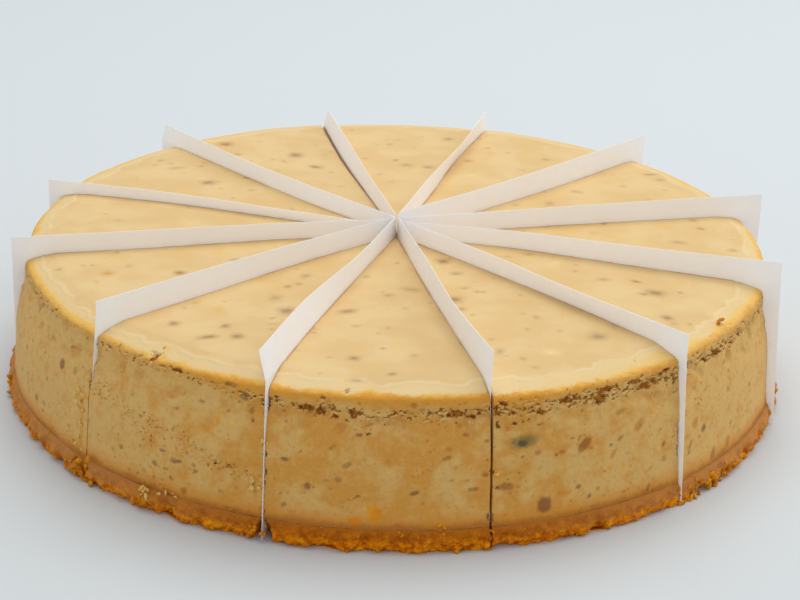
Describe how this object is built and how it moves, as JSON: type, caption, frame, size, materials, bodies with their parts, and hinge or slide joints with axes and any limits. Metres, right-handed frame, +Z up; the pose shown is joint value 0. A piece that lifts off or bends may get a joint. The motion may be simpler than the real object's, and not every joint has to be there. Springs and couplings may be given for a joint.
{
  "type": "baked cheesecake",
  "caption": "Round baked cheesecake on a crumb base, cut into wedges that still stand together, with a sheet of parchment in each cut.",
  "frame": {"origin": "centre of the cake's underside, on the surface that it stands on", "axes": "+Z up, -Y towards the side that the picture shows, +X to its right"},
  "size_m": [0.256, 0.2563, 0.0572],
  "materials": {
    "filling": "soft satin, baked cream cheese with flecks",
    "crumb_base": "matte pressed biscuit crumbs",
    "paper": "smooth matte parchment"
  },
  "bodies": {
    "root": {"filling_01": "filling", "filling_02": "filling", "filling_03": "filling", "filling_04": "filling", "filling_05": "filling", "filling_06": "filling", "filling_07": "filling", "filling_08": "filling", "filling_09": "filling", "filling_10": "filling", "filling_11": "filling", "filling_12": "filling", "crust_01": "crumb_base", "crust_02": "crumb_base", "crust_03": "crumb_base", "crust_04": "crumb_base", "crust_05": "crumb_base", "crust_06": "crumb_base", "crust_07": "crumb_base", "crust_08": "crumb_base", "crust_09": "crumb_base", "crust_10": "crumb_base", "crust_11": "crumb_base", "crust_12": "crumb_base", "paper_01": "paper", "paper_02": "paper", "paper_03": "paper", "paper_04": "paper", "paper_05": "paper", "paper_06": "paper", "paper_07": "paper", "paper_08": "paper", "paper_09": "paper", "paper_10": "paper", "paper_11": "paper", "paper_12": "paper"}
  },
  "joints": []
}
